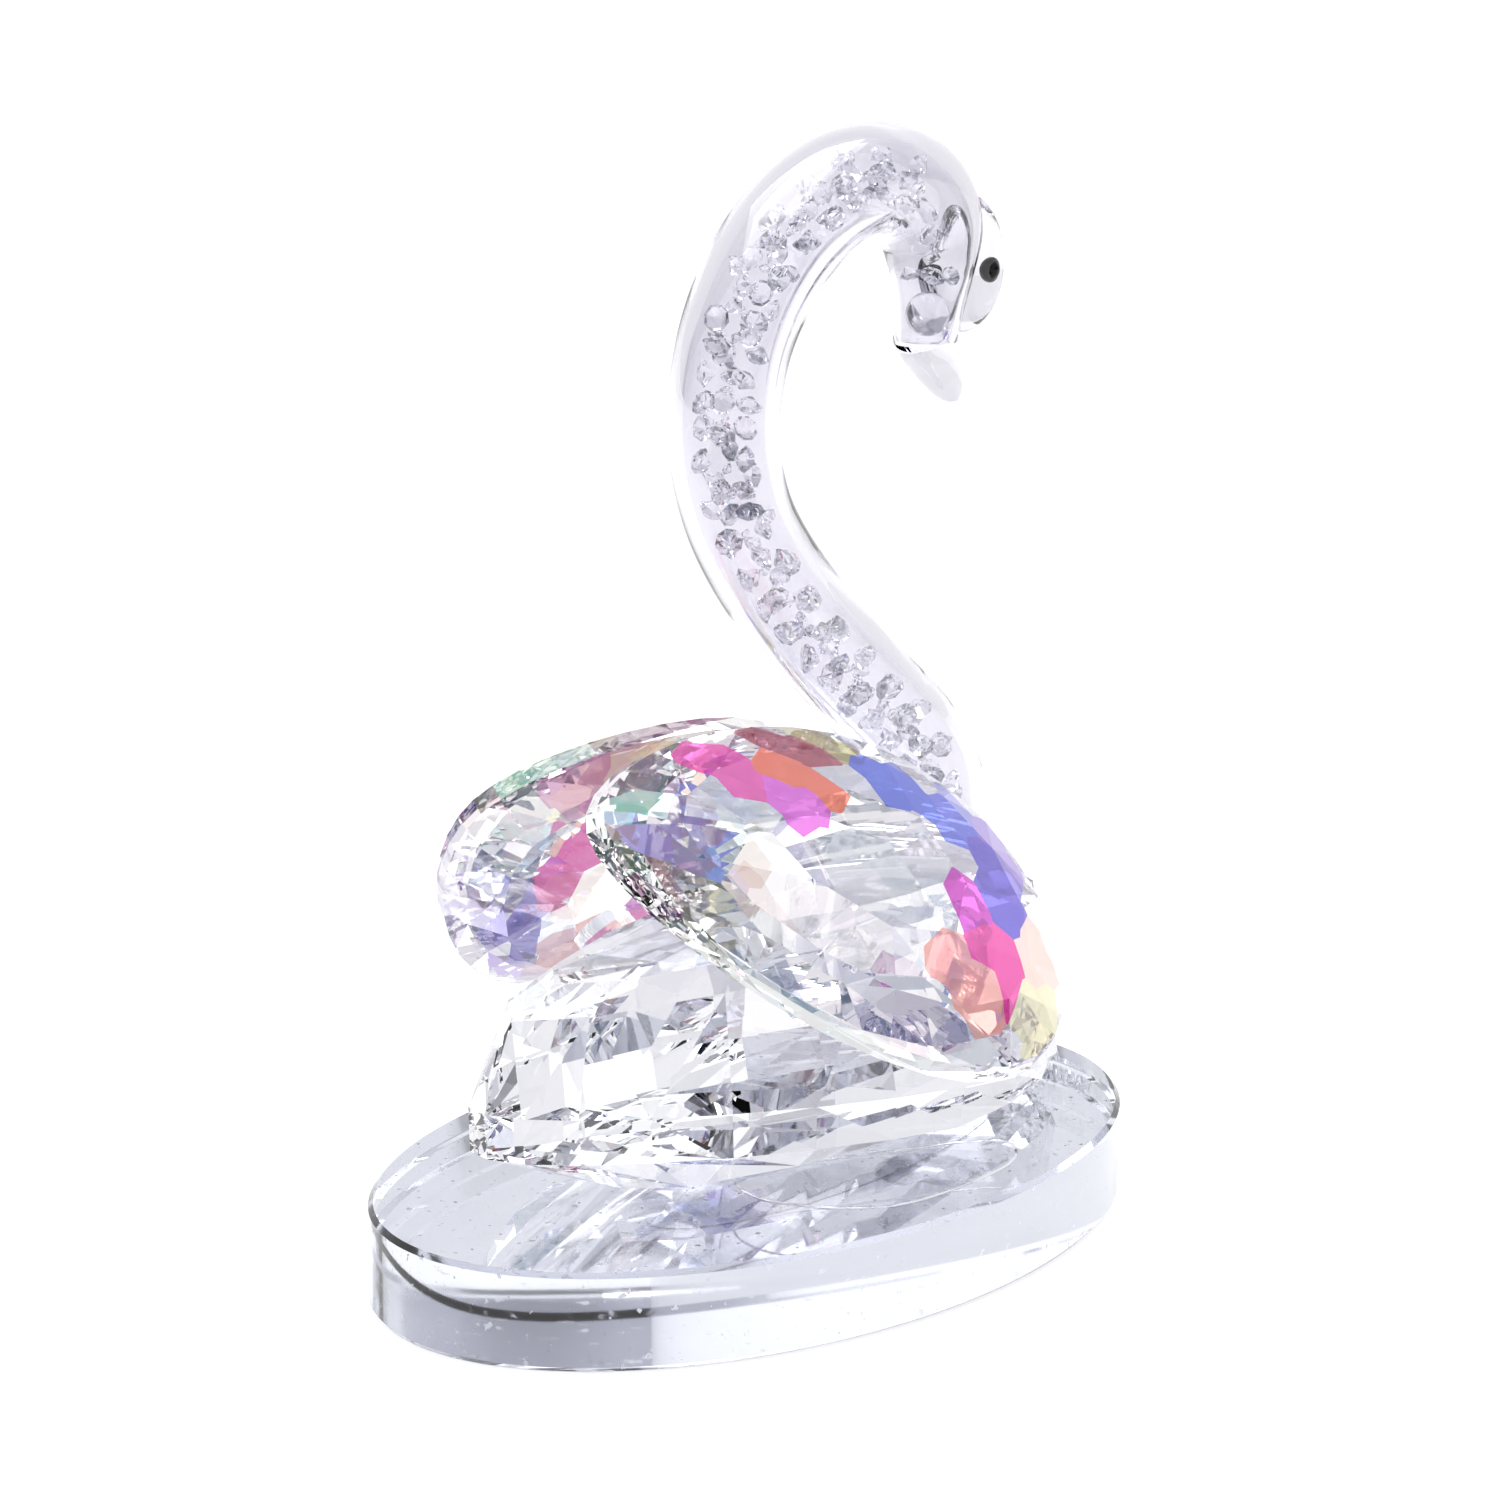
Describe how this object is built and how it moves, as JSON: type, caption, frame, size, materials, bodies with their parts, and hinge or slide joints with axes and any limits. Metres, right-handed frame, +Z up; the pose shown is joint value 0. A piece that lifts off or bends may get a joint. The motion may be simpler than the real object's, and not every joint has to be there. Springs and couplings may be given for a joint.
{
  "type": "crystal swan figurine",
  "caption": "Cut-crystal swan figurine: faceted boat-shaped body with two rainbow-coated pear-shaped wings and a stone-filled glass neck, on an oval mirror-backed glass base.",
  "frame": {"origin": "centre of the base's underside", "axes": "+X the way the swan faces, +Y the swan's left, +Z up"},
  "size_m": [0.1, 0.061, 0.1133],
  "materials": {
    "base_glass": "polished, clear",
    "mirror_film": "silvered",
    "body_crystal": "cut and polished, clear",
    "coated_crystal": "cut and polished, rainbow coating",
    "clear_glue": "clear, cured",
    "neck_glass": "flame-polished, clear",
    "stone_crystal": "cut and polished, clear",
    "eye_black": "gloss black"
  },
  "bodies": {
    "root": {"base_slab": "base_glass", "base_mirror_film": "mirror_film", "body_glue_film": "clear_glue", "body_crystal": "body_crystal", "wing_right": "coated_crystal", "wing_left": "coated_crystal", "wing_pad_right_rear": "clear_glue", "wing_pad_right_front": "clear_glue", "wing_pad_left_rear": "clear_glue", "wing_pad_left_front": "clear_glue", "neck_glue_film": "clear_glue", "neck_tube": "neck_glass", "neck_chatons": "stone_crystal", "neck_chips": "stone_crystal", "throat_ball": "stone_crystal", "head_lobe": "neck_glass", "beak": "neck_glass", "eye_right": "eye_black", "eye_left": "eye_black"}
  },
  "joints": []
}
